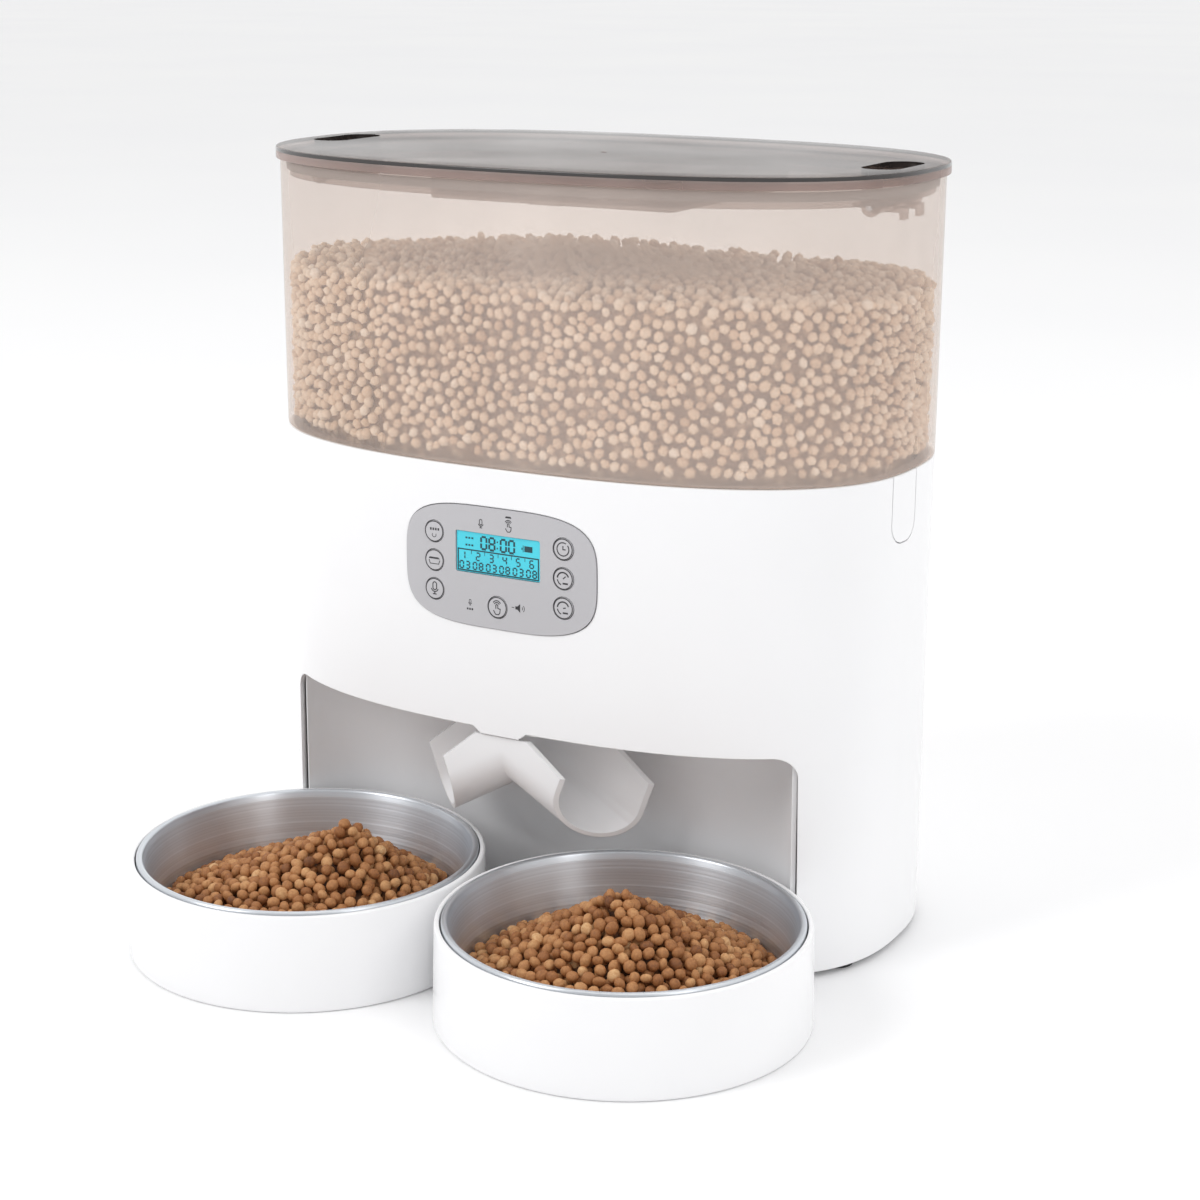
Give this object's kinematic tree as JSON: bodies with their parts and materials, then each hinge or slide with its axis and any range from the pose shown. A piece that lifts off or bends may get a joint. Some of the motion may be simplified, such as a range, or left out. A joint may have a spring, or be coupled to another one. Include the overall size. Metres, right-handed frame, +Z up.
{
  "type": "automatic pet feeder",
  "caption": "Dry food dispenser: clear lift-off hopper with smoky lid, motor-driven metering wheel, control panel, two-way chute and two steel bowls in white stands.",
  "frame": {"origin": "middle of the whole object's footprint, on the surface it stands on", "axes": "+Z up, -Y is the front with the bowls and the control panel, +X to the right seen from the front"},
  "size_m": [0.3184, 0.3022, 0.3478],
  "materials": {
    "white_abs": "smooth moulded, soft gloss",
    "clear_hopper": "transparent, faint smoky brown tint",
    "smoke_lid": "transparent, smoky grey",
    "panel_grey": "semi-gloss",
    "key_grey": "satin with printed rings and icons",
    "lcd_cyan": "backlit liquid crystal",
    "stainless": "circular brushed",
    "plated_steel": "zinc plated",
    "foot_rubber": "matte",
    "silicone": "translucent matte",
    "black_plastic": "fine texture",
    "circuit_board": "solder mask",
    "nylon": "natural"
  },
  "bodies": {
    "base": {"main_housing": "white_abs", "bay_liner": "white_abs", "base_plate": "white_abs", "battery_door": "white_abs", "food_chute": "white_abs", "panel_plate": "panel_grey", "lcd_display": "lcd_cyan", "base_screw_front_left": "plated_steel", "base_screw_front_right": "plated_steel", "base_screw_rear_left": "plated_steel", "base_screw_rear_right": "plated_steel", "battery_contact_front": "plated_steel", "battery_contact_rear": "plated_steel", "feed_motor": "plated_steel", "foot_front_left": "foot_rubber", "foot_front_right": "foot_rubber", "foot_rear_left": "foot_rubber", "foot_rear_right": "foot_rubber", "battery_case": "black_plastic", "power_socket": "black_plastic", "speaker": "black_plastic", "gearbox_cover": "black_plastic", "microphone": "black_plastic", "main_board": "circuit_board", "display_board": "circuit_board", "wheel_deck": "nylon"},
    "wheel": {"metering_wheel": "silicone", "stirrer": "silicone"},
    "drive": {"drive_gear": "nylon", "drive_shaft": "nylon"},
    "pinion": {"motor_pinion": "nylon"},
    "hopper": {"hopper_tank": "clear_hopper", "drum_floor": "white_abs"},
    "lid": {"lid": "smoke_lid", "lid_gasket": "silicone", "latch_pin_left": "plated_steel", "latch_pin_right": "plated_steel"},
    "latch_left": {"lid_latch_left": "clear_hopper"},
    "latch_right": {"lid_latch_right": "clear_hopper"},
    "dry_cover": {"desiccant_cover": "smoke_lid"},
    "release_left": {"release_tab_left": "white_abs"},
    "release_right": {"release_tab_right": "white_abs"},
    "splitter": {"chute_splitter": "white_abs"},
    "stand_left": {"bowl_stand_left": "white_abs"},
    "stand_right": {"bowl_stand_right": "white_abs"},
    "steel_left": {"steel_bowl_left": "stainless"},
    "steel_right": {"steel_bowl_right": "stainless"},
    "key_meal": {"key_meal": "key_grey"},
    "key_portion": {"key_portion": "key_grey"},
    "key_record": {"key_record": "key_grey"},
    "key_clock": {"key_clock": "key_grey"},
    "key_timer_up": {"key_timer_up": "key_grey"},
    "key_timer_down": {"key_timer_down": "key_grey"},
    "key_feed": {"key_feed": "key_grey"}
  },
  "joints": [
    {"name": "hopper_lift", "type": "slide", "parent": "base", "child": "hopper", "axis": [0, 0, 1], "range_m": [0, 0.12]},
    {"name": "lid_lift", "type": "slide", "parent": "hopper", "child": "lid", "axis": [0, 0, 1], "range_m": [0, 0.1]},
    {"name": "latch_left_tip", "type": "hinge", "parent": "lid", "child": "latch_left", "pos_m": [-0.141, 0.0538, 0.332], "axis": [0, -1, 0], "range_deg": [0, 20], "stiffness_Nm_per_rad": 0.02},
    {"name": "latch_right_tip", "type": "hinge", "parent": "lid", "child": "latch_right", "pos_m": [0.141, 0.0538, 0.332], "axis": [0, 1, 0], "range_deg": [0, 20], "stiffness_Nm_per_rad": 0.02},
    {"name": "dry_cover_pull", "type": "slide", "parent": "lid", "child": "dry_cover", "axis": [0, 0, -1], "range_m": [0, 0.025]},
    {"name": "wheel_spin", "type": "hinge", "parent": "hopper", "child": "wheel", "pos_m": [0, 0.0538, 0.147], "axis": [0, 0, 1], "continuous": true},
    {"name": "drive_spin", "type": "hinge", "parent": "base", "child": "drive", "pos_m": [0, 0.0538, 0.122], "axis": [0, 0, 1], "continuous": true},
    {"name": "pinion_spin", "type": "hinge", "parent": "base", "child": "pinion", "pos_m": [0, 0.0778, 0.122], "axis": [0, 0, 1], "continuous": true},
    {"name": "release_left_press", "type": "slide", "parent": "base", "child": "release_left", "axis": [1, 0, 0], "range_m": [0, 0.0025], "stiffness_N_per_m": 900},
    {"name": "release_right_press", "type": "slide", "parent": "base", "child": "release_right", "axis": [-1, 0, 0], "range_m": [0, 0.0025], "stiffness_N_per_m": 900},
    {"name": "splitter_pull", "type": "slide", "parent": "base", "child": "splitter", "axis": [0, -1, 0], "range_m": [0, 0.06]},
    {"name": "stand_left_pull", "type": "slide", "parent": "base", "child": "stand_left", "axis": [0, -1, 0], "range_m": [0, 0.12]},
    {"name": "stand_right_pull", "type": "slide", "parent": "base", "child": "stand_right", "axis": [0, -1, 0], "range_m": [0, 0.12]},
    {"name": "steel_left_lift", "type": "slide", "parent": "stand_left", "child": "steel_left", "axis": [0, 0, 1], "range_m": [0, 0.007]},
    {"name": "steel_right_lift", "type": "slide", "parent": "stand_right", "child": "steel_right", "axis": [0, 0, 1], "range_m": [0, 0.007]},
    {"name": "key_meal_press", "type": "slide", "parent": "base", "child": "key_meal", "axis": [0, 1, 0], "range_m": [0, 0.0006], "stiffness_N_per_m": 1500},
    {"name": "key_portion_press", "type": "slide", "parent": "base", "child": "key_portion", "axis": [0, 1, 0], "range_m": [0, 0.0006], "stiffness_N_per_m": 1500},
    {"name": "key_record_press", "type": "slide", "parent": "base", "child": "key_record", "axis": [0, 1, 0], "range_m": [0, 0.0006], "stiffness_N_per_m": 1500},
    {"name": "key_clock_press", "type": "slide", "parent": "base", "child": "key_clock", "axis": [0, 1, 0], "range_m": [0, 0.0006], "stiffness_N_per_m": 1500},
    {"name": "key_timer_up_press", "type": "slide", "parent": "base", "child": "key_timer_up", "axis": [0, 1, 0], "range_m": [0, 0.0006], "stiffness_N_per_m": 1500},
    {"name": "key_timer_down_press", "type": "slide", "parent": "base", "child": "key_timer_down", "axis": [0, 1, 0], "range_m": [0, 0.0006], "stiffness_N_per_m": 1500},
    {"name": "key_feed_press", "type": "slide", "parent": "base", "child": "key_feed", "axis": [0, 1, 0], "range_m": [0, 0.0006], "stiffness_N_per_m": 1500}
  ],
  "couplings": [
    {"joint": "drive_spin", "follows": "wheel_spin", "ratio": 1},
    {"joint": "pinion_spin", "follows": "wheel_spin", "ratio": -3}
  ]
}
